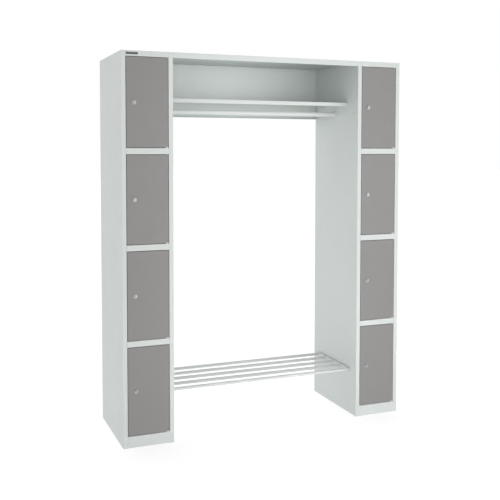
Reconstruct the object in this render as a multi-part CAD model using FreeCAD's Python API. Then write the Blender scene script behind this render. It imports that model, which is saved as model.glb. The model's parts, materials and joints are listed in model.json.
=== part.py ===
"""Sheet-steel locker wardrobe: two columns of four lockers, joined by an open bay with a hat shelf,
a coat rail and a shoe rack.

Units are millimetres. X runs to the right, Y to the back and Z up. The origin is on the floor, at the
middle of the whole object, so the door faces lie a little behind half the depth and the lock plugs
reach that half depth. Every door hangs on its right edge and locks on its left.
"""
import FreeCAD, Part
import math
import os

os.makedirs("parts", exist_ok=True)

Vector = FreeCAD.Vector
X_AXIS = Vector(1, 0, 0)
Y_AXIS = Vector(0, 1, 0)
Z_AXIS = Vector(0, 0, 1)

# Overall sizes
column_width = 250.0
bay_width = 1000.0
depth = 480.0
height = 1870.0

# Sheet metal
sheet = 1.0
bend_radius = 0.8
hem = 12.0

# Column front
compartments = 4
stile_width = 22.0
stile_lip = 12.0
rail_height = 29.0
header_height = 26.0
plinth_height = 56.0
rail_lip = 8.0
notch_gap = 1.0
rear_flange = 15.0
cover_edge_radius = 0.8

# Doors
door_gap = 2.0
door_depth = 18.0
door_lip = 12.0
door_edge_radius = 1.6
stiffener_width = 50.0
stiffener_depth = 10.0
stiffener_flange = 11.0
stiffener_end_gap = 30.0

# Hinges
pin_radius = 2.0
pin_clearance = 0.08
pin_depth = 4.5
pin_engagement = 7.0
pin_root = 5.0
swing_clearance = 0.6
bush_length = 14.0
bush_margin = 0.3
bush_gap = 0.3

# Locks
lock_inset = 38.0
rosette_radius = 10.5
rosette_height = 2.5
rosette_chamfer = 1.0
barrel_radius = 8.5
barrel_flat = 7.2
barrel_clearance = 0.1
spindle_radius = 6.0
spindle_clearance = 0.08
axial_gap = 0.3
head_radius = 7.4
head_front_radius = 7.0
head_height = 3.2
head_chamfer = 0.5
key_slot_width = 2.2
key_slot_length = 8.4
key_slot_depth = 6.0
nut_across = 22.0
nut_height = 4.0
cam_gap = 1.0
cam_thickness = 2.0
cam_width = 14.0
cam_overlap = 8.0
cam_seat = 7.6
cam_seat_clearance = 0.05
cam_screw_radius = 5.4
cam_screw_height = 2.5

# Bay panels
bay_header_height = 26.0
bay_hem = 12.0
end_flange = 26.0
back_panel_height = 283.0
back_side_flange = 20.0
shelf_below_top = 208.0
shelf_edge = 19.0
shelf_depth = 365.0
shelf_hem = 12.0
corner_gap = 0.5

# Coat rail
coat_rail_below_shelf = 58.0
coat_rail_from_front = 248.0
coat_rail_radius = 12.5
coat_rail_wall = 1.5
coat_rail_clearance = 0.1
socket_plate_radius = 20.0
socket_plate = 3.0
socket_chamfer = 0.8
socket_wall = 2.5
socket_length = 14.0

# Shoe rack
rack_tubes = 5
rack_tube_radius = 8.0
rack_tube_wall = 1.5
rack_tube_height = 235.0
rack_pitch = 84.0
rack_middle_from_front = 247.5
rack_bracket_sheet = 2.0
rack_bracket_over = 2.0
rack_bracket_end = 16.0
rack_bracket_corner = 5.0
rack_stand_off = 4.0
rack_boss_radius = 9.0

# Screws and studs that hold the bay to the columns
screw_radius = 2.9
screw_clearance = 0.2
thread_clearance = 0.05
screw_head_radius = 5.5
screw_head_height = 2.6
screw_nut_across = 10.0
screw_nut_height = 4.5
screw_tail = 1.5

# Holes in the columns' sides
joining_hole_radius = 3.3
joining_hole_below_top = 268.0
joining_hole_from_front = 51.0
low_rail_hole_radius = 2.6
low_rail_below_rail = 160.0

# Levelling feet
foot_radius = 15.0
foot_height = 9.0
foot_stem_radius = 4.0
foot_nut_across = 13.0
foot_nut_height = 6.5
foot_inset_x = 42.0
foot_inset_y = 50.0

# Plate on the header
plate_length = 57.0
plate_height = 11.0
plate_thickness = 0.8
plate_corner_radius = 1.5

# Worked-out places
plug_proud = rosette_height + axial_gap + head_height
front = -(depth - plug_proud) / 2
back = front + depth
half_bay = bay_width / 2
left_column = -half_bay - column_width
right_column = half_bay
opening_height = (height - header_height - plinth_height
                  - (compartments - 1) * rail_height) / compartments
door_left = stile_width + door_gap
door_right = column_width - stile_width - door_gap
swing_room = door_gap - swing_clearance
pin_inset = (pin_depth ** 2 - swing_room ** 2) / (2 * swing_room)
pin_x = door_right - pin_inset
stile_depth = pin_depth + math.hypot(pin_inset, door_depth - pin_depth) + swing_clearance
shoulder = stile_depth + sheet + notch_gap
lock_x = door_left + lock_inset
cam_front = stile_depth + sheet + cam_gap
barrel_end = cam_front - axial_gap
cam_length = lock_x - (stile_width + stile_lip) + cam_overlap
shelf_top_height = height - shelf_below_top
coat_rail_height = shelf_top_height - coat_rail_below_shelf
rack_bracket_inner = half_bay - rack_stand_off - rack_bracket_sheet


def opening_floor(index):
    """Height of the bottom of a compartment's opening, counted from 0 at the bottom."""
    return plinth_height + index * (opening_height + rail_height)


def box(x0, x1, y0, y1, z0, z1):
    return Part.makeBox(x1 - x0, y1 - y0, z1 - z0, Vector(x0, y0, z0))


def cylinder(radius, start, end):
    axis = end - start
    return Part.makeCylinder(radius, axis.Length, start, axis)


def tube(radius, wall, start, end):
    return cylinder(radius, start, end).cut(cylinder(radius - wall, start, end))


def rounded_face(points, radii):
    """Flat face inside a closed outline, with a tangent arc of the given radius at each corner."""
    edges = []
    starts = []
    ends = []
    middles = []
    count = len(points)
    for i in range(count):
        corner = points[i]
        back_way = (points[i - 1] - corner).normalize()
        ahead_way = (points[(i + 1) % count] - corner).normalize()
        half_angle = back_way.getAngle(ahead_way) / 2
        reach = radii[i] / math.tan(half_angle)
        starts.append(corner + back_way * reach)
        ends.append(corner + ahead_way * reach)
        bisector = (back_way + ahead_way).normalize()
        middles.append(corner + bisector * (radii[i] / math.sin(half_angle) - radii[i]))
    for i in range(count):
        if radii[i] > 0:
            edges.append(Part.Arc(starts[i], middles[i], ends[i]).toShape())
        edges.append(Part.LineSegment(ends[i], starts[(i + 1) % count]).toShape())
    return Part.Face(Part.Wire(edges))


def folded_sheet(path, normal):
    """Face of a sheet's section: the path is the middle of the sheet and every bend is square."""
    half = sheet / 2
    near = []
    far = []
    near_radii = []
    far_radii = []
    last = len(path) - 1
    for i, point in enumerate(path):
        before = (point - path[i - 1]).normalize() if i > 0 else None
        after = (path[i + 1] - point).normalize() if i < last else None
        side = Vector(0, 0, 0)
        for way in (before, after):
            if way is not None:
                side = side + normal.cross(way)
        near.append(point + side * half)
        far.append(point - side * half)
        if before is None or after is None:
            near_radii.append(0.0)
            far_radii.append(0.0)
        elif normal.dot(before.cross(after)) > 0:
            near_radii.append(bend_radius)
            far_radii.append(bend_radius + sheet)
        else:
            near_radii.append(bend_radius + sheet)
            far_radii.append(bend_radius)
    return rounded_face(near + far[::-1], near_radii + far_radii[::-1])


def fused(first, *others):
    return first.fuse(list(others)).removeSplitter()


def edges_where(shape, test):
    """Edges whose bounding box passes a test."""
    return [edge for edge in shape.Edges if test(edge.BoundBox)]


def hexagon(across, start, end):
    """Hexagonal prism between two points, with the given distance across its flats."""
    axis = (end - start).normalize()
    first = Z_AXIS.cross(axis) if abs(axis.dot(Z_AXIS)) < 0.5 else X_AXIS
    second = axis.cross(first)
    corner_radius = across / math.sqrt(3)
    corners = []
    for i in range(6):
        angle = math.pi / 3 * i
        corners.append(start + first * (corner_radius * math.cos(angle))
                       + second * (corner_radius * math.sin(angle)))
    face = Part.Face(Part.makePolygon(corners + [corners[0]]))
    return face.extrude(end - start)


def save(name, shape):
    shape.exportStep("parts/%s.step" % name)


def in_column(shape, column_x):
    """Moves a piece from a column's own place, front left corner at 0, to its place in the object."""
    return shape.translated(Vector(column_x, front, 0))


# Columns

def side_panel():
    """Left side of a column: one sheet with the front stile, the door stop lip and a rear flange."""
    half = sheet / 2
    path = [Vector(rear_flange, depth - half, 0),
            Vector(half, depth - half, 0),
            Vector(half, half, 0),
            Vector(stile_width - half, half, 0),
            Vector(stile_width - half, stile_depth + half, 0),
            Vector(stile_width + stile_lip, stile_depth + half, 0)]
    panel = folded_sheet(path, Z_AXIS).extrude(Z_AXIS * (height - sheet))
    lip_end = stile_width + stile_lip + notch_gap
    lip_front = stile_depth - bend_radius
    lip_back = stile_depth + sheet
    notches = [box(stile_width, lip_end, lip_front, lip_back, 0, plinth_height + notch_gap)]
    for index in range(1, compartments + 1):
        rail_top = opening_floor(index) + notch_gap
        rail_bottom = opening_floor(index) - rail_height - rail_lip - notch_gap
        notches.append(box(stile_width, lip_end, lip_front, lip_back, rail_bottom, rail_top))
    return panel.cut(notches)


def mirrored(shape):
    """The same piece for the other side of a column."""
    return shape.mirror(Vector(column_width / 2, 0, 0), X_AXIS)


def rail(bottom, top, lip):
    """Front rail between the stiles: a channel whose top turns into the plate behind it."""
    half = sheet / 2
    x0 = stile_width
    path = [Vector(x0, stile_depth + half, bottom - lip),
            Vector(x0, stile_depth + half, bottom + half),
            Vector(x0, half, bottom + half),
            Vector(x0, half, top - half),
            Vector(x0, shoulder, top - half)]
    if lip == 0:
        path = path[1:]
    face = folded_sheet(path, X_AXIS)
    return face.extrude(X_AXIS * (column_width - 2 * stile_width))


def tray_bends(block, top):
    """Upper edges of a block at the left, right and rear."""
    return edges_where(block, lambda bounds: bounds.ZMin > top - sheet / 2
                       and bounds.YMax > shoulder + sheet)


def plate_tray(top):
    """Plate between the sides, its left, right and rear edges bent down and welded at the corners."""
    x0 = sheet
    x1 = column_width - sheet
    y1 = depth - 2 * sheet
    outside = box(x0, x1, shoulder, y1, top - hem, top)
    outside = outside.makeFillet(bend_radius + sheet, tray_bends(outside, top))
    inside = box(x0 + sheet, x1 - sheet, shoulder, y1 - sheet, top - hem, top - sheet)
    inside = inside.makeFillet(bend_radius, tray_bends(inside, top - sheet))
    return outside.cut(inside)


def pin_hole(bottom, top):
    start = Vector(pin_x, pin_depth, bottom)
    return cylinder(pin_radius, start, Vector(pin_x, pin_depth, top))


def shelf(index):
    """Shelf and front rail under compartment number index, drilled for the hinge pins."""
    top = opening_floor(index)
    bottom = top - rail_height
    shape = fused(rail(bottom, top, rail_lip), plate_tray(top))
    return shape.cut([pin_hole(bottom - 1, bottom + 2 * sheet), pin_hole(top - 2 * sheet, top + 1)])


def column_floor():
    """Bottom of a column: the floor plate with the plinth folded down in front."""
    shape = fused(rail(0, plinth_height, 0), plate_tray(plinth_height))
    return shape.cut(pin_hole(plinth_height - 2 * sheet, plinth_height + 1))


def column_top():
    """Top cover over both sides, with the header channel folded down between the stiles."""
    bottom = height - header_height
    half = sheet / 2
    path = [Vector(stile_width, stile_depth + half, bottom - rail_lip),
            Vector(stile_width, stile_depth + half, bottom + half),
            Vector(stile_width, half, bottom + half),
            Vector(stile_width, half, height - half)]
    header = folded_sheet(path, X_AXIS).extrude(X_AXIS * (column_width - 2 * stile_width))
    cover = box(0, column_width, 0, depth, height - sheet, height)
    rim = edges_where(cover, lambda bounds: bounds.ZMin > height - sheet / 2)
    cover = cover.makeFillet(cover_edge_radius, rim)
    return fused(header, cover).cut(pin_hole(bottom - 1, bottom + 2 * sheet))


def column_back():
    side = sheet + bend_radius
    return box(side, column_width - side, depth - 2 * sheet, depth - sheet, 0, height - sheet)


# Doors

def door_span(index):
    bottom = opening_floor(index) + door_gap
    return bottom, bottom + opening_height - 2 * door_gap


def door_bends(block, radius):
    """Rounds a block's edges all round its front and its rear face."""
    return block.makeFillet(radius, edges_where(block, lambda bounds: bounds.YLength < sheet / 2))


def stiffener(z0, z1):
    """Channel with two welding flanges, which lies on the back of the door's skin."""
    half = sheet / 2
    middle = (door_left + door_right) / 2
    wide = stiffener_width / 2 - half
    far = wide + stiffener_flange
    near_skin = sheet + half
    crown = sheet + stiffener_depth - half
    path = [Vector(middle + x, y, z0) for x, y in
            ((-far, near_skin), (-wide, near_skin), (-wide, crown),
             (wide, crown), (wide, near_skin), (far, near_skin))]
    return folded_sheet(path, Z_AXIS).extrude(Z_AXIS * (z1 - z0))


def door(index):
    """Door pan with edges folded back and in, a welded stiffener, pin holes and the lock hole."""
    z0, z1 = door_span(index)
    pan = door_bends(box(door_left, door_right, 0, door_depth, z0, z1), door_edge_radius)
    hollow = box(door_left + sheet, door_right - sheet, sheet, door_depth - sheet, z0 + sheet, z1 - sheet)
    hollow = door_bends(hollow, door_edge_radius - sheet)
    rim = sheet + door_lip
    window = box(door_left + rim, door_right - rim, door_depth - 2 * sheet, door_depth + sheet,
                 z0 + rim, z1 - rim)
    shape = fused(pan.cut([hollow, window]), stiffener(z0 + stiffener_end_gap, z1 - stiffener_end_gap))
    hole = pin_radius + pin_clearance
    holes = [cylinder(hole, Vector(pin_x, pin_depth, z0 - 1), Vector(pin_x, pin_depth, z0 + 2 * sheet)),
             cylinder(hole, Vector(pin_x, pin_depth, z1 - 2 * sheet), Vector(pin_x, pin_depth, z1 + 1)),
             barrel_section(barrel_clearance, -1, 2 * sheet, (z0 + z1) / 2)]
    return shape.cut(holes)


def hinge_pins():
    """Two pins for each door, pressed into the rails above and below it."""
    pins = []
    for column_x in (left_column, right_column):
        for index in range(compartments):
            z0, z1 = door_span(index)
            for near, far in ((z0 - door_gap - pin_root, z0 + pin_engagement),
                              (z1 - pin_engagement, z1 + door_gap + pin_root)):
                pins.append(in_column(pin_hole(near, far), column_x))
    return Part.Compound(pins)


def hinge_bushes():
    """Light plastic pads on the pins, in the gap under each door's hinge corner."""
    bushes = []
    width = 2 * (pin_depth - bush_margin)
    reach = bush_length / 2
    for column_x in (left_column, right_column):
        for index in range(compartments):
            z = opening_floor(index)
            corners = [Vector(pin_x - reach, pin_depth - width / 2, z),
                       Vector(pin_x + reach, pin_depth - width / 2, z),
                       Vector(pin_x + reach, pin_depth + width / 2, z),
                       Vector(pin_x - reach, pin_depth + width / 2, z)]
            face = rounded_face(corners, [0.49 * width] * 4)
            pad = face.extrude(Z_AXIS * (door_gap - bush_gap))
            pad = pad.cut(cylinder(pin_radius + pin_clearance, Vector(pin_x, pin_depth, z - 1),
                                   Vector(pin_x, pin_depth, z + door_gap)))
            bushes.append(in_column(pad, column_x))
    return Part.Compound(bushes)


# Locks

def along_lock(y, z):
    return Vector(lock_x, y, z)


def barrel_section(clearance, y0, y1, z):
    """Round barrel with a flat above and below, which keeps it from turning in the door."""
    flat = barrel_flat + clearance
    round_bar = cylinder(barrel_radius + clearance, along_lock(y0, z), along_lock(y1, z))
    return round_bar.common(box(lock_x - 2 * barrel_radius, lock_x + 2 * barrel_radius,
                                y0, y1, z - flat, z + flat))


def lock_case(z):
    """Rosette and threaded barrel, with the nut that clamps them to the door."""
    rosette = cylinder(rosette_radius, along_lock(-rosette_height, z), along_lock(0, z))
    rim = edges_where(rosette, lambda bounds: bounds.YMax < -rosette_height / 2)
    rosette = rosette.makeChamfer(rosette_chamfer, rim)
    barrel = barrel_section(0, 0, barrel_end, z)
    bore = cylinder(spindle_radius + spindle_clearance, along_lock(-rosette_height - 1, z),
                    along_lock(barrel_end + 1, z))
    case = fused(rosette, barrel).cut(bore)
    clamp = hexagon(nut_across, along_lock(sheet, z), along_lock(sheet + nut_height, z))
    clamp = clamp.cut(cylinder(barrel_radius + barrel_clearance, along_lock(0, z),
                               along_lock(sheet + nut_height + 1, z)))
    return Part.Compound([case, clamp])


def lock_knob(z):
    """Turning plug: low tapered head with a key slot, the spindle and the square seat for the cam."""
    head_back = -rosette_height - axial_gap
    head_front = head_back - head_height
    head = Part.makeCone(head_radius, head_front_radius, head_height, along_lock(head_back, z), -Y_AXIS)
    rim = edges_where(head, lambda bounds: bounds.YMax < head_front + head_chamfer)
    head = head.makeChamfer(head_chamfer, rim)
    spindle = cylinder(spindle_radius, along_lock(head_back, z), along_lock(cam_front, z))
    half = cam_seat / 2
    seat = box(lock_x - half, lock_x + half, cam_front, cam_front + cam_thickness, z - half, z + half)
    wide = key_slot_width / 2
    tall = key_slot_length / 2
    key_slot = box(lock_x - wide, lock_x + wide, head_front - 1, head_front + key_slot_depth,
                   z - tall, z + tall)
    return fused(head, spindle, seat).cut(key_slot)


def lock_cam(z):
    """Cam plate hanging down, which turns to the left behind the stop lip, and its screw."""
    half = cam_width / 2
    y0 = cam_front
    y1 = cam_front + cam_thickness
    corners = [Vector(lock_x - half, y0, z + half), Vector(lock_x + half, y0, z + half),
               Vector(lock_x + half, y0, z - cam_length), Vector(lock_x - half, y0, z - cam_length)]
    plate = rounded_face(corners, [0.9 * half, 0.9 * half, cam_width / 4, cam_width / 4])
    plate = plate.extrude(Y_AXIS * cam_thickness)
    hole = cam_seat / 2 + cam_seat_clearance
    plate = plate.cut(box(lock_x - hole, lock_x + hole, y0 - 1, y1 + 1, z - hole, z + hole))
    screw = cylinder(cam_screw_radius, along_lock(y1, z), along_lock(y1 + cam_screw_height, z))
    slot = box(lock_x - cam_screw_radius, lock_x + cam_screw_radius, y1 + cam_screw_height / 2,
               y1 + cam_screw_height, z - sheet / 2, z + sheet / 2)
    return Part.Compound([plate, screw.cut(slot)])


# Screws and their places

def screw_places():
    """Side, depth and height of each screw through a flange of the bay's panels."""
    top_flange_z = height - sheet - end_flange / 2
    shelf_z = shelf_top_height - shelf_edge / 2
    back_z = height - back_panel_height
    shelf_front = back - 2 * sheet - shelf_depth
    back_flange_y = back - sheet - back_side_flange / 2
    places = []
    for side in (-1, 1):
        for y in (front + depth / 6, front + depth / 2):
            places.append((side, y, top_flange_z))
        for y in (shelf_front + shelf_depth / 7, back - 2 * sheet - shelf_depth / 4):
            places.append((side, y, shelf_z))
        for z in (back_z + back_panel_height / 6, height - back_panel_height / 3):
            places.append((side, back_flange_y, z))
    return places


def rack_stud_places():
    """Side, depth and height of each stud on the shoe rack's brackets, between the outer tubes."""
    reach = rack_pitch * (rack_tubes - 2) / 2
    middle = front + rack_middle_from_front
    return [(side, middle + way * reach, rack_tube_height) for side in (-1, 1) for way in (-1, 1)]


def stud_places():
    """Places of all studs: on the shoe rack's brackets and behind the coat rail's sockets."""
    sockets = [(side, front + coat_rail_from_front, coat_rail_height) for side in (-1, 1)]
    return rack_stud_places() + sockets


def across_side(side, y, z, inward):
    """Point at a distance inward, into the bay, from a column's inner side."""
    return Vector(side * (half_bay - inward), y, z)


def fixing_holes(side, first, last):
    """Clearance holes for one side's screws and studs, between two distances into the bay."""
    radius = screw_radius + screw_clearance
    return [cylinder(radius, across_side(side, y, z, first), across_side(side, y, z, last))
            for place_side, y, z in screw_places() + stud_places() if place_side == side]


def shank(side, y, z, start):
    """Plain shank from a distance into the bay to a little past its nut inside the column."""
    end = -sheet - screw_nut_height - screw_tail
    return cylinder(screw_radius, across_side(side, y, z, start), across_side(side, y, z, end))


def nut(side, y, z):
    """Nut on the inner face of the column's side."""
    start = across_side(side, y, z, -sheet)
    end = across_side(side, y, z, -sheet - screw_nut_height)
    return hexagon(screw_nut_across, start, end).cut(cylinder(screw_radius + thread_clearance, start, end))


def assembly_screws():
    """Screws through the flanges, studs of the rack brackets and rail sockets, and the nuts of all."""
    fixings = []
    for side, y, z in screw_places():
        head = cylinder(screw_head_radius, across_side(side, y, z, sheet),
                        across_side(side, y, z, sheet + screw_head_height))
        fixings.append(fused(head, shank(side, y, z, sheet)))
        fixings.append(nut(side, y, z))
    for side, y, z in stud_places():
        fixings.append(shank(side, y, z, 0))
        fixings.append(nut(side, y, z))
    return Part.Compound(fixings)


def side_hole(radius, x, from_front, z):
    """Drill across a column's side, whose outer face is at x."""
    start = Vector(x - 2 * sheet, front + from_front, z)
    return cylinder(radius, start, start + X_AXIS * (4 * sheet))


def joining_hole(x):
    """Hole in each side of a column, where a neighbouring locker is bolted on."""
    return side_hole(joining_hole_radius, x, joining_hole_from_front, height - joining_hole_below_top)


def low_rail_hole(x):
    """Spare hole in an inner side, for a coat rail hung lower."""
    return side_hole(low_rail_hole_radius, x, coat_rail_from_front, coat_rail_height - low_rail_below_rail)


# Bay

def bay_top():
    """Top panel of the bay: header folded down in front with a hem, end flanges at the columns."""
    half = sheet / 2
    path = [Vector(-half_bay, front + bay_hem, height - bay_header_height + half),
            Vector(-half_bay, front + half, height - bay_header_height + half),
            Vector(-half_bay, front + half, height - half),
            Vector(-half_bay, back - sheet, height - half)]
    panel = folded_sheet(path, X_AXIS).extrude(X_AXIS * bay_width)
    flange_front = front + bay_hem + corner_gap
    flange_back = back - sheet - back_side_flange - corner_gap
    pieces = []
    for side in (-1, 1):
        outer = side * half_bay
        inner = side * (half_bay - sheet)
        pieces.append(box(min(inner, outer), max(inner, outer), flange_front, flange_back,
                          height - sheet - end_flange, height - sheet))
    holes = fixing_holes(-1, 0, 2 * sheet) + fixing_holes(1, 0, 2 * sheet)
    return fused(panel, *pieces).cut(holes)


def bay_back():
    """Upper back panel: side flanges at the columns and a hem along its lower edge."""
    half = sheet / 2
    bottom = height - back_panel_height
    path = [Vector(-half_bay + half, back - back_side_flange, bottom),
            Vector(-half_bay + half, back - half, bottom),
            Vector(half_bay - half, back - half, bottom),
            Vector(half_bay - half, back - back_side_flange, bottom)]
    panel = folded_sheet(path, Z_AXIS).extrude(Z_AXIS * (back_panel_height - sheet))
    lower = box(-half_bay + sheet + corner_gap, half_bay - sheet - corner_gap, back - hem, back - sheet,
                bottom, bottom + sheet)
    holes = fixing_holes(-1, 0, 2 * sheet) + fixing_holes(1, 0, 2 * sheet)
    return fused(panel, lower).cut(holes)


def hat_shelf():
    """Hat shelf: front edge folded down and back, flanges at both ends, a rear edge folded down."""
    half = sheet / 2
    rear = back - sheet
    fore = rear - shelf_depth
    bottom = shelf_top_height - shelf_edge
    path = [Vector(-half_bay, fore + shelf_hem, bottom + half),
            Vector(-half_bay, fore + half, bottom + half),
            Vector(-half_bay, fore + half, shelf_top_height - half),
            Vector(-half_bay, rear - half, shelf_top_height - half),
            Vector(-half_bay, rear - half, bottom)]
    plate = folded_sheet(path, X_AXIS).extrude(X_AXIS * bay_width)
    notch = back_side_flange + corner_gap
    pieces = []
    cuts = []
    for side in (-1, 1):
        outer = side * half_bay
        inner = side * (half_bay - sheet)
        clear = side * (half_bay - sheet - bend_radius - corner_gap)
        pieces.append(box(min(inner, outer), max(inner, outer), fore + shelf_hem + corner_gap,
                          back - notch - corner_gap, bottom, shelf_top_height - sheet))
        cuts.append(box(min(clear, outer), max(clear, outer), back - notch, back,
                        bottom - 1, shelf_top_height + 1))
    holes = fixing_holes(-1, 0, 2 * sheet) + fixing_holes(1, 0, 2 * sheet)
    return fused(plate, *pieces).cut(cuts + holes)


def coat_rail():
    y = front + coat_rail_from_front
    reach = half_bay - socket_plate
    return tube(coat_rail_radius, coat_rail_wall, Vector(-reach, y, coat_rail_height),
                Vector(reach, y, coat_rail_height))


def coat_rail_sockets():
    """Round cups on the columns' inner sides that hold the ends of the coat rail."""
    sockets = []
    y = front + coat_rail_from_front
    z = coat_rail_height
    bore = coat_rail_radius + coat_rail_clearance
    for side in (-1, 1):
        wall = across_side(side, y, z, 0)
        plate_face = across_side(side, y, z, socket_plate)
        mouth = across_side(side, y, z, socket_length)
        plate = cylinder(socket_plate_radius, wall, plate_face)
        rim = edges_where(plate, lambda bounds: abs(bounds.XMin) < half_bay - socket_plate / 2
                          and abs(bounds.XMax) < half_bay - socket_plate / 2)
        plate = plate.makeChamfer(socket_chamfer, rim)
        cup = cylinder(bore + socket_wall, plate_face, mouth).cut(cylinder(bore, plate_face, mouth))
        sockets.append(fused(plate, cup))
    return Part.Compound(sockets)


def shoe_rack_tubes():
    tubes = []
    for index in range(rack_tubes):
        y = front + rack_middle_from_front + (index - (rack_tubes - 1) / 2) * rack_pitch
        tubes.append(tube(rack_tube_radius, rack_tube_wall,
                          Vector(-rack_bracket_inner, y, rack_tube_height),
                          Vector(rack_bracket_inner, y, rack_tube_height)))
    return Part.Compound(tubes)


def shoe_rack_bracket(side):
    """Flat bar that carries the tubes, held off the column's side by a boss at each stud."""
    reach = (rack_tubes - 1) / 2 * rack_pitch + rack_bracket_end
    middle = front + rack_middle_from_front
    top = rack_tube_height + rack_tube_radius + rack_bracket_over
    bottom = rack_tube_height - rack_tube_radius - rack_bracket_over
    near = side * rack_bracket_inner
    far = side * (rack_bracket_inner + rack_bracket_sheet)
    bar = box(min(near, far), max(near, far), middle - reach, middle + reach, bottom, top)
    corners = edges_where(bar, lambda bounds: bounds.YLength < sheet / 2
                          and bounds.ZLength < sheet / 2)
    bar = bar.makeFillet(rack_bracket_corner, corners)
    bosses = []
    for place_side, y, z in rack_stud_places():
        if place_side == side:
            bosses.append(cylinder(rack_boss_radius, across_side(side, y, z, 0),
                                   across_side(side, y, z, rack_stand_off)))
    return fused(bar, *bosses)


def levelling_feet():
    """Feet inside the plinth, each on a threaded stem under a nut at the floor plate."""
    feet = []
    top = plinth_height - sheet
    for column_x in (left_column, right_column):
        for x in (foot_inset_x, column_width - foot_inset_x):
            for y in (foot_inset_y, depth - foot_inset_y):
                base = Vector(column_x + x, front + y, 0)
                pad = cylinder(foot_radius, base, base + Z_AXIS * foot_height)
                stem = cylinder(foot_stem_radius, base, base + Z_AXIS * top)
                collar = hexagon(foot_nut_across, base + Z_AXIS * (top - foot_nut_height),
                                 base + Z_AXIS * top)
                feet.append(fused(pad, stem, collar))
    return Part.Compound(feet)


def header_plate():
    """Small bare plate on the left column's header, in line with the doors' left edge."""
    x0 = left_column + door_left
    z0 = height - (header_height + plate_height) / 2
    corners = [Vector(x0, front, z0), Vector(x0 + plate_length, front, z0),
               Vector(x0 + plate_length, front, z0 + plate_height), Vector(x0, front, z0 + plate_height)]
    return rounded_face(corners, [plate_corner_radius] * 4).extrude(-Y_AXIS * plate_thickness)


# Every piece under its name

def make_column(name, column_x, inner_side):
    left_edge = column_x
    right_edge = column_x + column_width
    left_side = in_column(side_panel(), column_x).cut(joining_hole(left_edge))
    right_side = in_column(mirrored(side_panel()), column_x).cut(joining_hole(right_edge))
    hole_reach = -2 * sheet
    if inner_side > 0:
        left_name, right_name = "inner_side", "outer_side"
        left_side = left_side.cut(fixing_holes(1, hole_reach, sheet) + [low_rail_hole(left_edge)])
    else:
        left_name, right_name = "outer_side", "inner_side"
        right_side = right_side.cut(fixing_holes(-1, hole_reach, sheet) + [low_rail_hole(right_edge)])
    save("%s_%s" % (name, left_name), left_side)
    save("%s_%s" % (name, right_name), right_side)
    save("%s_back" % name, in_column(column_back(), column_x))
    save("%s_top" % name, in_column(column_top(), column_x))
    save("%s_floor" % name, in_column(column_floor(), column_x))
    for index in range(1, compartments):
        save("%s_shelf_%d" % (name, index), in_column(shelf(index), column_x))
    for index in range(compartments):
        z0, z1 = door_span(index)
        middle = (z0 + z1) / 2
        number = compartments - index
        save("%s_door_%d" % (name, number), in_column(door(index), column_x))
        save("%s_lock_case_%d" % (name, number), in_column(lock_case(middle), column_x))
        save("%s_knob_%d" % (name, number), in_column(lock_knob(middle), column_x))
        save("%s_cam_%d" % (name, number), in_column(lock_cam(middle), column_x))


make_column("left", left_column, -1)
make_column("right", right_column, 1)
save("hinge_pins", hinge_pins())
save("hinge_bushes", hinge_bushes())
save("levelling_feet", levelling_feet())
save("assembly_screws", assembly_screws())
save("bay_top", bay_top())
save("bay_back", bay_back())
save("hat_shelf", hat_shelf())
save("coat_rail", coat_rail())
save("coat_rail_sockets", coat_rail_sockets())
save("shoe_rack_tubes", shoe_rack_tubes())
save("shoe_rack_brackets", Part.Compound([shoe_rack_bracket(-1), shoe_rack_bracket(1)]))
save("header_plate", header_plate())
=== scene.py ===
import json
import math

import bmesh
import bpy
from mathutils import Matrix, Vector


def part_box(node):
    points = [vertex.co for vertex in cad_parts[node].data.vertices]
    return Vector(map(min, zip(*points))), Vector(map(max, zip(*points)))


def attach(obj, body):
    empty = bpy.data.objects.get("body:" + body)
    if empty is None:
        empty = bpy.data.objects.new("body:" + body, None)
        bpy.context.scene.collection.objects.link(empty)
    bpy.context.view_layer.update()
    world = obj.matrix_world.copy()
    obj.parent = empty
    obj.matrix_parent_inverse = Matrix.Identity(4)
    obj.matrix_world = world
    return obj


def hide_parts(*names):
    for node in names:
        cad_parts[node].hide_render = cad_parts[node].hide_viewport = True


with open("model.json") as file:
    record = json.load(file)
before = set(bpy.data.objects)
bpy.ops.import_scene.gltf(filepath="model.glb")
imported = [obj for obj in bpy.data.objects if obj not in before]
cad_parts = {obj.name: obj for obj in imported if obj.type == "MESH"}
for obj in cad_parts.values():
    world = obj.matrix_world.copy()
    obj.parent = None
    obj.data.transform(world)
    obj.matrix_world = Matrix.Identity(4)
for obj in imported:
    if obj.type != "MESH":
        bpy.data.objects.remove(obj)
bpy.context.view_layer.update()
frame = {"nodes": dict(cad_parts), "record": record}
NODES = frame["nodes"]
COMPARTMENTS = [(column, number) for column in ("left", "right") for number in (1, 2, 3, 4)]
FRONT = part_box("left_outer_side")[0].y
QUARTER_TURN = math.pi / 2
WHITE = (1.0, 1.0, 1.0, 1.0)

# Camera: metres from the wardrobe's middle, front plane and floor, angles in radians, lens in mm
CAMERA_X = -1.5659
CAMERA_FROM_FRONT = 3.5408
CAMERA_HEIGHT = 1.4024
CAMERA_YAW = 0.3708
CAMERA_PITCH = -0.0495
CAMERA_LENS = 55.91
CAMERA_SENSOR = 36.0
CAMERA_SHIFT = (0.0313, -0.12)

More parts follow.
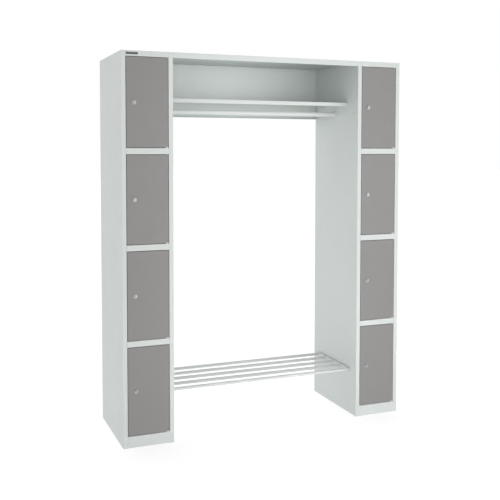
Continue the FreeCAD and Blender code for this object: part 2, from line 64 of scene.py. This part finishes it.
# Lights: name, place, target, width and height in metres, power in watts, spread in degrees
LIGHTS = (
    ("key_softbox", (1.5, -5.2, 0.9), (0.0, 0.0, 1.0), 3.2, 1.6, 59.0, 180),
    ("right_softbox", (3.4, -4.2, 1.6), (0.2, 0.0, 1.1), 1.6, 1.6, 21.0, 180),
    ("inner_softbox", (-2.2, -3.2, 1.0), (0.5, 0.0, 0.95), 0.5, 1.4, 1.25, 30),
    ("rack_softbox", (-0.3, -3.6, 0.35), (0.1, 0.0, 0.24), 1.2, 0.25, 0.50, 24),
    ("bay_softbox", (-0.6, -3.2, 1.75), (0.05, 0.2, 1.78), 0.5, 0.2, 0.19, 24),
    ("bay_fill", (-0.15, -0.10, 1.755), (-0.15, 1.0, 1.755), 0.6, 0.12, 0.24, 180),
)

# World: strength of each part of the sky, and where along Y or Z one part fades into the next
FRONT_STRENGTH = 0.15
BACK_STRENGTH = 1.0
OVERHEAD_STRENGTH = 0.19
FRONT_TO_BACK = (-0.3, 0.3)
ABOVE_HORIZON = (0.31, 0.41)
OVERHEAD = (0.45, 0.85)

# Floor
FLOOR_REACH = 40.0
FLOOR_COLOUR = (0.47, 0.47, 0.47)
FLOOR_ROUGHNESS = 0.9
FLOOR_GLOW = 0.68

# Paint, metal and plastic colours, linear
FRAME_COLOUR = (0.573, 0.606, 0.590)
RAIL_COLOUR = (0.594, 0.616, 0.605)
DOOR_COLOUR = (0.219, 0.213, 0.209)
PLUG_COLOUR = (0.375, 0.37, 0.36)
ROSETTE_COLOUR = (0.44, 0.435, 0.425)
ZINC_COLOUR = (0.56, 0.57, 0.59)
BUSH_COLOUR = (0.66, 0.67, 0.65)
RUBBER_COLOUR = (0.030, 0.030, 0.032)
PLATE_COLOUR = (0.085, 0.092, 0.090)
COAT_SPECULAR = 0.45
RAMP_STOPS = (0.3, 0.7)
SHARP_ANGLE = math.radians(35)

# Fineness: steps of round shapes, distances in metres within which points merge, digits kept
DOME_STEPS = 8
CORNER_STEPS = 6
TURNED_STEPS = 32
SCREW_STEPS = 40
NUT_STEPS = 48
TURNED_MERGE = 1e-7
SOLID_MERGE = 1e-6
PLACE_DIGITS = 5
LENGTH_DIGITS = 6

# Screws, in metres; the crown is the power of the cosine that rounds the head
SCREW_HEAD_RADIUS = 0.0055
SCREW_HEAD_HEIGHT = 0.0026
SCREW_HEAD_RIM = 0.0009
SCREW_HEAD_CROWN = 0.8
RECESS_REACH = 0.0027
RECESS_WIDTH = 0.0013
RECESS_DEPTH = 0.0015
RECESS_ABOVE_HEAD = 0.001
RECESS_FLOOR_SHARE = 0.55
RECESS_MOUTH_SHARE = 1.15

# Threads and nuts, in metres; the flanks are radii at shares of the pitch
THREAD_RADIUS = 0.0029
THREAD_ROOT = 0.00245
THREAD_PITCH = 0.001
THREAD_FLANKS = ((THREAD_RADIUS, 0.35), (THREAD_ROOT, 0.65), (THREAD_RADIUS, 0.95))
THREAD_END_SHARE = 0.4
NUT_ACROSS = 0.010
NUT_MOST_HEIGHT = 0.0052
NUT_SIDE_ANGLE = math.tau / 6
NUT_BORE = 0.00295
NUT_BORE_EDGE = 0.0004
NUT_FACE_SHARE = 0.97
NUT_CHAMFER_SLOPE = math.tan(math.radians(30))

# Door buffers, in metres
LOCK_SIDES = {"left": "left_outer_side", "right": "right_inner_side"}
BUFFER_RADIUS = 0.004
BUFFER_FROM_FRONT = (0.01815, 0.0201)
BUFFER_RIM_SHARE = 0.45
BUFFER_CROWN = 0.6
BUFFER_FROM_DOOR_END = 0.060
STILE_LIP_MIDDLE = 0.006

# Hinge caps, in metres
DOOR_EDGE_RADIUS = 0.0016
CAP_LENGTH = 0.0135
CAP_FROM_DOOR_EDGE = 0.0017
CAP_HEIGHT = 0.0028
CAP_THICKNESS = 0.0005
CAP_END = 0.0005
CAP_END_SHARE = 0.3

# Shoe rack welds, in metres
TUBE_COUNT = 5
TUBE_RADIUS = 0.008
TUBE_PITCH = 0.084
WELD_RADIUS = 0.0012
WELD_RIPPLES = 14
WELD_RIPPLE_SHARE = 0.16
WELD_SPREAD_SHARE = 0.9
WELD_SINK_SHARE = 0.3
WELD_STEPS = 56
WELD_SECTION_STEPS = 10

# Header plate, in metres
PLATE_CORNER = 0.0015
PLATE_LEAST_CORNER = 0.0004
PLATE_BORDER = 0.0012
PLATE_EDGE = 0.0002
PLATE_RECESS = 0.00025


# Materials

class Surface:
    """A procedural material under construction: a Principled shader and the nodes that feed it."""

    def __init__(self, name, colour, roughness, metallic=0.0):
        self.colour = colour
        self.roughness = roughness
        self.material = bpy.data.materials.new(name)
        self.material.use_nodes = True
        self.tree = self.material.node_tree
        self.shader = self.tree.nodes["Principled BSDF"]
        self.shader.inputs["Base Color"].default_value = (*colour, 1.0)
        self.shader.inputs["Roughness"].default_value = roughness
        self.shader.inputs["Metallic"].default_value = metallic
        self.coordinates = self.tree.nodes.new("ShaderNodeTexCoord").outputs["Object"]

    def link(self, source, target):
        """Joins two sockets."""
        self.tree.links.new(source, target)

    def noise(self, scale, detail=2.0, stretch=(1.0, 1.0, 1.0)):
        """Noise over the object's own coordinates, in features per metre."""
        mapping = self.tree.nodes.new("ShaderNodeMapping")
        mapping.inputs["Scale"].default_value = stretch
        self.link(self.coordinates, mapping.inputs["Vector"])
        noise = self.tree.nodes.new("ShaderNodeTexNoise")
        noise.inputs["Scale"].default_value = scale
        noise.inputs["Detail"].default_value = detail
        self.link(mapping.outputs["Vector"], noise.inputs["Vector"])
        return noise.outputs["Fac"]

    def ramp(self, factor, low, high):
        """Colours or greys that follow a factor from low to high."""
        ramp = self.tree.nodes.new("ShaderNodeValToRGB")
        for element, stop, colour in zip(ramp.color_ramp.elements, RAMP_STOPS, (low, high)):
            element.position = stop
            element.color = (*colour, 1.0)
        self.link(factor, ramp.inputs["Fac"])
        return ramp.outputs["Color"]

    def vary_colour(self, factor, spread):
        """Colour that a factor darkens and lightens by a share."""
        low = tuple(value * (1.0 - spread) for value in self.colour)
        high = tuple(value * (1.0 + spread) for value in self.colour)
        self.link(self.ramp(factor, low, high), self.shader.inputs["Base Color"])

    def vary_roughness(self, factor, down, up):
        """Roughness that a factor lowers and raises."""
        low = (self.roughness - down,) * 3
        high = (self.roughness + up,) * 3
        self.link(self.ramp(factor, low, high), self.shader.inputs["Roughness"])

    def bump(self, factor, height, strength):
        """Fine relief from a factor, its height in metres."""
        bump = self.tree.nodes.new("ShaderNodeBump")
        bump.inputs["Distance"].default_value = height
        bump.inputs["Strength"].default_value = strength
        self.link(factor, bump.inputs["Height"])
        self.link(bump.outputs["Normal"], self.shader.inputs["Normal"])


def powder_coat(name, colour, roughness):
    """Satin powder coat: a fine orange-peel skin over faintly uneven colour and gloss."""
    surface = Surface(name, colour, roughness)
    surface.vary_colour(surface.noise(scale=3.5, detail=4.0), spread=0.012)
    surface.vary_roughness(surface.noise(scale=22.0, detail=3.0), down=0.04, up=0.05)
    surface.bump(surface.noise(scale=620.0), height=0.00012, strength=0.35)
    surface.shader.inputs["Specular IOR Level"].default_value = COAT_SPECULAR
    return surface.material


def turned_metal(name, colour, roughness):
    """Nickel or zinc plating with fine machining marks across the part."""
    surface = Surface(name, colour, roughness, metallic=1.0)
    surface.vary_colour(surface.noise(scale=260.0, detail=3.0), spread=0.06)
    surface.vary_roughness(surface.noise(scale=900.0, stretch=(1.0, 0.2, 1.0)), down=0.06, up=0.10)
    surface.bump(surface.noise(scale=2600.0, stretch=(1.0, 0.15, 1.0)), height=0.00003, strength=0.4)
    return surface.material


def moulded(name, colour, roughness):
    """Moulded plastic or rubber with a faint grain."""
    surface = Surface(name, colour, roughness)
    surface.vary_colour(surface.noise(scale=120.0, detail=3.0), spread=0.05)
    surface.vary_roughness(surface.noise(scale=300.0), down=0.05, up=0.08)
    surface.bump(surface.noise(scale=1500.0, detail=3.0), height=0.00005, strength=0.5)
    return surface.material


def studio_floor(name):
    """White floor with a glow of its own, which keeps the shadows on it faint."""
    surface = Surface(name, FLOOR_COLOUR, FLOOR_ROUGHNESS)
    surface.vary_colour(surface.noise(scale=0.7), spread=0.006)
    surface.shader.inputs["Emission Color"].default_value = WHITE
    surface.shader.inputs["Emission Strength"].default_value = FLOOR_GLOW
    return surface.material


FRAME_COAT = powder_coat("light_grey_powder_coat", FRAME_COLOUR, roughness=0.48)
RAIL_COAT = powder_coat("rail_powder_coat", RAIL_COLOUR, roughness=0.42)
DOOR_COAT = powder_coat("door_powder_coat", DOOR_COLOUR, roughness=0.46)
PLUG_NICKEL = turned_metal("satin_nickel_plug", PLUG_COLOUR, roughness=0.42)
ROSETTE_NICKEL = turned_metal("satin_nickel_rosette", ROSETTE_COLOUR, roughness=0.50)
ZINC = turned_metal("zinc_plating", ZINC_COLOUR, roughness=0.38)
BUSH = moulded("light_plastic", BUSH_COLOUR, roughness=0.45)
RUBBER = moulded("black_rubber", RUBBER_COLOUR, roughness=0.65)
PLATE = moulded("bare_dark_plate", PLATE_COLOUR, roughness=0.35)

FINISHES = {
    "frame_grey": FRAME_COAT,
    "rail_grey": RAIL_COAT,
    "door_grey": DOOR_COAT,
    "lock_metal": ROSETTE_NICKEL,
    "zinc_steel": ZINC,
    "bush_plastic": BUSH,
    "foot_plastic": RUBBER,
    "plate_dark": PLATE,
}


# Finishes of the CAD nodes

def paint(node, material):
    """Gives a CAD node one material."""
    slots = NODES[node].data.materials
    slots.clear()
    slots.append(material)


def paint_all():
    """Paints every CAD node by its slot in the record, and the lock plugs in a nickel of their own."""
    for row in frame["record"]["subparts"]:
        paint(row["node"], FINISHES[row["material_slot"]])
    for column, number in COMPARTMENTS:
        paint(f"{column}_knob_{number}", PLUG_NICKEL)


# Small pieces

def as_mesh(name, shape):
    """Mesh of a bmesh, which is used up."""
    mesh = bpy.data.meshes.new(name)
    shape.to_mesh(mesh)
    shape.free()
    return mesh


def add_piece(name, shape, material, body="root"):
    """Puts a bmesh into the scene as a piece of one body, the fixed frame if none is given."""
    mesh = as_mesh(name, shape)
    mesh.shade_smooth()
    mesh.set_sharp_from_angle(angle=SHARP_ANGLE)
    mesh.materials.append(material)
    piece = bpy.data.objects.new(name, mesh)
    bpy.context.scene.collection.objects.link(piece)
    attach(piece, body)
    return piece


def dome(radius, rim, top, crown):
    """Profile of a rounded head, from its rim up to just below its top."""
    profile = []
    for step in range(DOME_STEPS):
        angle = step / DOME_STEPS * QUARTER_TURN
        profile.append((radius * math.cos(angle) ** crown, rim + (top - rim) * math.sin(angle)))
    return profile


def revolved(profile, steps=TURNED_STEPS):
    """Closed shape from a profile of (radius, height) pairs turned about Z."""
    shape = bmesh.new()
    points = [shape.verts.new((radius, 0.0, height)) for radius, height in profile]
    lines = [shape.edges.new(pair) for pair in zip(points, points[1:])]
    bmesh.ops.spin(shape, geom=points + lines, cent=(0, 0, 0), axis=(0, 0, 1),
                   angle=math.tau, steps=steps, use_merge=True)
    bmesh.ops.remove_doubles(shape, verts=shape.verts, dist=TURNED_MERGE)
    bmesh.ops.recalc_face_normals(shape, faces=shape.faces)
    return shape


def ringed(rings, closed=False):
    """Skin over rings of equal length; the ends are filled, or joined to each other."""
    shape = bmesh.new()
    loops = [[shape.verts.new(point) for point in ring] for ring in rings]
    pairs = list(zip(loops, loops[1:]))
    if closed:
        pairs.append((loops[-1], loops[0]))
    for low, high in pairs:
        for index in range(len(low)):
            after = (index + 1) % len(low)
            shape.faces.new((low[index], low[after], high[after], high[index]))
    if not closed:
        shape.faces.new(loops[0])
        shape.faces.new(loops[-1])
    bmesh.ops.recalc_face_normals(shape, faces=shape.faces)
    return shape


def cut_from(mesh, tool):
    """Mesh with another mesh cut out of it."""
    body = bpy.data.objects.new("cut_body", mesh)
    cutter = bpy.data.objects.new("cut_tool", tool)
    for item in (body, cutter):
        bpy.context.scene.collection.objects.link(item)
    cut = body.modifiers.new("cut", "BOOLEAN")
    cut.object = cutter
    cut.solver = "EXACT"
    ready = body.evaluated_get(bpy.context.evaluated_depsgraph_get())
    result = bpy.data.meshes.new_from_object(ready)
    for item in (body, cutter):
        bpy.data.objects.remove(item)
    return result


def place(shape, mesh, seat, direction):
    """Adds a copy of a mesh, its Z axis turned to a direction and its origin put on a seat."""
    before = len(shape.verts)
    shape.from_mesh(mesh)
    shape.verts.ensure_lookup_table()
    turn = Vector(direction).to_track_quat("Z", "Y").to_matrix().to_4x4()
    bmesh.ops.transform(shape, matrix=Matrix.Translation(seat) @ turn, verts=shape.verts[before:])


# Fixings

def corners(points):
    """Lowest and highest corner of a set of mesh points."""
    low = Vector([min(point.co[axis] for point in points) for axis in range(3)])
    high = Vector([max(point.co[axis] for point in points) for axis in range(3)])
    return low, high


def rounded_place(box):
    """Corners of a box in one list, rounded so that boxes sort the same way in each run."""
    return [round(value, PLACE_DIGITS) for corner in box for value in corner]


def solids_of(node):
    """Lowest and highest corner of each solid in a CAD node, in a fixed order."""
    shape = bmesh.new()
    shape.from_mesh(NODES[node].data)
    bmesh.ops.remove_doubles(shape, verts=shape.verts, dist=SOLID_MERGE)
    left = set(shape.verts)
    boxes = []
    while left:
        found = {left.pop()}
        edge = list(found)
        while edge:
            near = {line.other_vert(point) for point in edge for line in point.link_edges}
            edge = list(near - found)
            found |= near
        left -= found
        boxes.append(corners(found))
    shape.free()
    return sorted(boxes, key=rounded_place)


def thread_profile(length):
    """Ridges and roots of a thread, from the origin down to a chamfered end."""
    profile = [(THREAD_RADIUS, 0.0)]
    for turn in range(int((length - THREAD_PITCH) / THREAD_PITCH)):
        top = -turn * THREAD_PITCH
        profile += [(radius, top - share * THREAD_PITCH) for radius, share in THREAD_FLANKS]
    profile.append((THREAD_RADIUS, -length + THREAD_END_SHARE * THREAD_PITCH))
    profile.append((THREAD_ROOT, -length))
    profile.append((0.0, -length))
    return profile


def cross_recess():
    """Cross-shaped tool that narrows towards the bottom of the recess."""
    half = RECESS_WIDTH / 2
    levels = ((SCREW_HEAD_HEIGHT - RECESS_DEPTH, RECESS_FLOOR_SHARE),
              (SCREW_HEAD_HEIGHT + RECESS_ABOVE_HEAD, RECESS_MOUTH_SHARE))
    rings = []
    for height, share in levels:
        reach = RECESS_REACH * share
        corner = [(reach, -half), (reach, half), (half, half)]
        ring = []
        for quarter in range(4):
            turn = Matrix.Rotation(quarter * QUARTER_TURN, 3, "Z")
            ring += [turn @ Vector((x, y, height)) for x, y in corner]
        rings.append(ring)
    return as_mesh("cross_recess", ringed(rings))


def screw_mesh(length):
    """Pan-head screw: its head rises from the origin, its thread goes down from there."""
    crown = dome(SCREW_HEAD_RADIUS, SCREW_HEAD_RIM, SCREW_HEAD_HEIGHT, SCREW_HEAD_CROWN)
    head = [(0.0, SCREW_HEAD_HEIGHT)] + crown[::-1] + [(SCREW_HEAD_RADIUS, 0.0)]
    shape = revolved(head + thread_profile(length), SCREW_STEPS)
    return cut_from(as_mesh("screw", shape), cross_recess())


def stud_mesh(length):
    """Stud that goes down from the origin."""
    return as_mesh("stud", revolved([(0.0, 0.0)] + thread_profile(length)))


def nut_section(angle, height):
    """Section of a chamfered hexagon nut at one angle, as (radius, height) pairs."""
    flat = NUT_ACROSS / 2
    face = flat * NUT_FACE_SHARE
    from_flat = (angle + NUT_SIDE_ANGLE / 2) % NUT_SIDE_ANGLE - NUT_SIDE_ANGLE / 2
    outer = flat / math.cos(from_flat)
    drop = (outer - face) * NUT_CHAMFER_SLOPE
    return [(NUT_BORE, 0.0), (face, 0.0), (outer, drop), (outer, height - drop), (face, height),
            (NUT_BORE + NUT_BORE_EDGE, height), (NUT_BORE, height - NUT_BORE_EDGE),
            (NUT_BORE, NUT_BORE_EDGE)]


def nut_mesh(height):
    """Hexagon nut that rises from the origin, its outer edges chamfered at both ends."""
    columns = []
    for step in range(NUT_STEPS):
        angle = step * math.tau / NUT_STEPS
        columns.append([(radius * math.cos(angle), radius * math.sin(angle), level)
                        for radius, level in nut_section(angle, height)])
    return as_mesh("nut", ringed(list(zip(*columns)), closed=True))


def fixing_kind(size, near):
    """What a solid of the fixings is: its mesh, seat from the middle, way (1.0 outward) and length."""
    if size.x < NUT_MOST_HEIGHT:
        return nut_mesh, near, 1.0, size.x
    if size.y > NUT_ACROSS:
        return screw_mesh, near + SCREW_HEAD_HEIGHT, -1.0, size.x - SCREW_HEAD_HEIGHT
    return stud_mesh, near, -1.0, size.x


def add_fixings():
    """Screws, studs and nuts with threads and chamfers, one for each solid of the frame's node."""
    shape = bmesh.new()
    made = {}
    for low, high in solids_of("assembly_screws"):
        middle = (low + high) / 2
        side = math.copysign(1.0, middle.x)
        kind, seat, way, length = fixing_kind(high - low, min(abs(low.x), abs(high.x)))
        key = (kind, round(length, LENGTH_DIGITS))
        if key not in made:
            made[key] = kind(length)
        place(shape, made[key], (side * seat, middle.y, middle.z), (way * side, 0.0, 0.0))
    fixings = add_piece("threaded_fixings", shape, ZINC)
    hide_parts("assembly_screws")


# Trims

def add_door_buffers():
    """Rubber buffers on the lip of each lock-side stile, near both ends of each door."""
    near, far = BUFFER_FROM_FRONT
    height = far - near
    crown = dome(BUFFER_RADIUS, BUFFER_RIM_SHARE * height, height, BUFFER_CROWN)
    buffer = as_mesh("buffer", revolved([(0.0, 0.0), (BUFFER_RADIUS, 0.0)] + crown + [(0.0, height)]))
    shape = bmesh.new()
    for column, number in COMPARTMENTS:
        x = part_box(LOCK_SIDES[column])[1].x - STILE_LIP_MIDDLE
        low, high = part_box(f"{column}_door_{number}")
        for z in (low.z + BUFFER_FROM_DOOR_END, high.z - BUFFER_FROM_DOOR_END):
            place(shape, buffer, (x, FRONT + far, z), (0.0, -1.0, 0.0))
    add_piece("door_buffers", shape, RUBBER)


def cap_section(x, front, bottom, share):
    """Outline of a hinge cap at one place along the door's lower edge, with a share of its thickness."""
    thickness = CAP_THICKNESS * share
    centre_y = front + DOOR_EDGE_RADIUS
    centre_z = bottom + DOOR_EDGE_RADIUS
    inner = []
    outer = []
    for step in range(1, CORNER_STEPS + 1):
        angle = step / CORNER_STEPS * QUARTER_TURN
        z = centre_z - DOOR_EDGE_RADIUS * math.cos(angle)
        inner.append((centre_y - DOOR_EDGE_RADIUS * math.sin(angle), z))
        outer.append((centre_y - (DOOR_EDGE_RADIUS + thickness) * math.sin(angle), z))
    inner.append((front, bottom + CAP_HEIGHT))
    outer.append((front - thickness, bottom + CAP_HEIGHT - thickness))
    return [(x, y, z) for y, z in inner + outer[::-1]]


def add_hinge_caps():
    """Light caps of the hinge bushes, folded around the lower hinge corner of each door."""
    for column, number in COMPARTMENTS:
        door = f"{column}_door_{number}"
        low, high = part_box(door)
        end = high.x - CAP_FROM_DOOR_EDGE
        start = end - CAP_LENGTH
        places = ((start, CAP_END_SHARE), (start + CAP_END, 1.0), (end - CAP_END, 1.0),
                  (end, CAP_END_SHARE))
        rings = [cap_section(x, low.y, low.z, share) for x, share in places]
        add_piece(f"{column}_hinge_cap_{number}", ringed(rings), BUSH, door)


def weld_mesh():
    """Rippled ring of weld around a tube whose axis is Z."""
    rings = []
    for step in range(WELD_STEPS):
        angle = step * math.tau / WELD_STEPS
        radius = WELD_RADIUS * (1.0 + WELD_RIPPLE_SHARE * math.sin(WELD_RIPPLES * angle))
        outward = Vector((math.cos(angle), math.sin(angle), 0.0))
        ring = []
        for turn in range(WELD_SECTION_STEPS):
            around = turn * math.tau / WELD_SECTION_STEPS
            across = outward * (TUBE_RADIUS + radius * math.cos(around) * WELD_SPREAD_SHARE)
            ring.append(across + Vector((0.0, 0.0, radius * math.sin(around))))
        rings.append(ring)
    return as_mesh("bead", ringed(rings, closed=True))


def add_tube_welds():
    """Weld beads where the shoe rack's tubes meet their brackets."""
    low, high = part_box("shoe_rack_tubes")
    first = low.y + TUBE_RADIUS
    height = (low.z + high.z) / 2
    bead = weld_mesh()
    shape = bmesh.new()
    for side, end in ((-1.0, low.x), (1.0, high.x)):
        x = end - side * WELD_RADIUS * WELD_SINK_SHARE
        for index in range(TUBE_COUNT):
            place(shape, bead, (x, first + index * TUBE_PITCH, height), (side, 0.0, 0.0))
    add_piece("tube_welds", shape, RAIL_COAT)


def rounded_outline(low, high, inset, y):
    """Rounded rectangle in a plane parallel to the front, drawn in from the plate's outline."""
    radius = max(PLATE_CORNER - inset, PLATE_LEAST_CORNER)
    x0, x1 = low.x + inset + radius, high.x - inset - radius
    z0, z1 = low.z + inset + radius, high.z - inset - radius
    points = []
    for corner, (x, z) in enumerate(((x1, z1), (x0, z1), (x0, z0), (x1, z0))):
        for step in range(CORNER_STEPS + 1):
            angle = (corner + step / CORNER_STEPS) * QUARTER_TURN
            points.append((x + radius * math.cos(angle), y, z + radius * math.sin(angle)))
    return points


def add_header_plate():
    """Bare plate with a narrow raised border, in place of the CAD's plain one."""
    low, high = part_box("header_plate")
    front = low.y
    levels = ((0.0, high.y), (0.0, front + PLATE_EDGE), (PLATE_EDGE, front), (PLATE_BORDER, front),
              (PLATE_BORDER + PLATE_EDGE, front + PLATE_RECESS))
    rings = [rounded_outline(low, high, inset, y) for inset, y in levels]
    plate = add_piece("bare_plate", ringed(rings), PLATE)
    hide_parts("header_plate")


# Stage

def add_floor():
    """Wide floor at the wardrobe's feet."""
    signs = ((-1, -1), (1, -1), (1, 1), (-1, 1))
    outline = [(x * FLOOR_REACH, y * FLOOR_REACH, 0.0) for x, y in signs]
    mesh = bpy.data.meshes.new("studio_floor")
    mesh.from_pydata(outline, [], [(0, 1, 2, 3)])
    mesh.materials.append(studio_floor("studio_floor"))
    floor = bpy.data.objects.new("studio_floor", mesh)
    bpy.context.scene.collection.objects.link(floor)


def add_lights():
    """Soft lights that the camera doesn't see."""
    for name, origin, target, width, height, power, spread in LIGHTS:
        data = bpy.data.lights.new(name, "AREA")
        data.shape = "RECTANGLE"
        data.size = width
        data.size_y = height
        data.energy = power
        data.spread = math.radians(spread)
        light = bpy.data.objects.new(name, data)
        light.location = origin
        light.rotation_mode = "QUATERNION"
        light.rotation_quaternion = (Vector(target) - Vector(origin)).to_track_quat("-Z", "Y")
        light.visible_camera = False
        bpy.context.scene.collection.objects.link(light)


def world_fade(tree, value, stops, strengths):
    """Strength that goes from one value to another between two stops."""
    fade = tree.nodes.new("ShaderNodeMapRange")
    fade.inputs["From Min"].default_value, fade.inputs["From Max"].default_value = stops
    fade.inputs["To Min"].default_value, fade.inputs["To Max"].default_value = strengths
    tree.links.new(value, fade.inputs["Value"])
    return fade.outputs["Result"]


def set_world():
    """White horizon all round and white back, a dim front, and a faint light from overhead."""
    world = bpy.data.worlds.new("studio_world")
    world.use_nodes = True
    tree = world.node_tree
    background = tree.nodes["Background"]
    background.inputs["Color"].default_value = WHITE
    direction = tree.nodes.new("ShaderNodeTexCoord").outputs["Generated"]
    parts = tree.nodes.new("ShaderNodeSeparateXYZ")
    tree.links.new(direction, parts.inputs["Vector"])
    around = world_fade(tree, parts.outputs["Y"], FRONT_TO_BACK, (FRONT_STRENGTH, BACK_STRENGTH))
    above = world_fade(tree, parts.outputs["Z"], ABOVE_HORIZON, (0.0, 1.0))
    overhead = world_fade(tree, parts.outputs["Z"], OVERHEAD, (0.0, OVERHEAD_STRENGTH))
    sides = tree.nodes.new("ShaderNodeMix")
    tree.links.new(above, sides.inputs["Factor"])
    sides.inputs["A"].default_value = BACK_STRENGTH
    tree.links.new(around, sides.inputs["B"])
    total = tree.nodes.new("ShaderNodeMath")
    tree.links.new(sides.outputs["Result"], total.inputs[0])
    tree.links.new(overhead, total.inputs[1])
    tree.links.new(total.outputs["Value"], background.inputs["Strength"])
    bpy.context.scene.world = world


def add_camera():
    """Camera where the photographer stood."""
    data = bpy.data.cameras.new("camera")
    data.lens = CAMERA_LENS
    data.sensor_width = CAMERA_SENSOR
    data.shift_x, data.shift_y = CAMERA_SHIFT
    camera = bpy.data.objects.new("camera", data)
    camera.location = (CAMERA_X, FRONT - CAMERA_FROM_FRONT, CAMERA_HEIGHT)
    camera.rotation_euler = (QUARTER_TURN + CAMERA_PITCH, 0.0, -CAMERA_YAW)
    bpy.context.scene.collection.objects.link(camera)
    bpy.context.scene.camera = camera


def set_colours():
    """Plain display colours, so that the paint reads as it is set."""
    view = bpy.context.scene.view_settings
    view.view_transform = "Standard"
    view.look = "None"


paint_all()
add_fixings()
add_door_buffers()
add_hinge_caps()
add_tube_welds()
add_header_plate()
add_floor()
add_lights()
set_world()
add_camera()
set_colours()
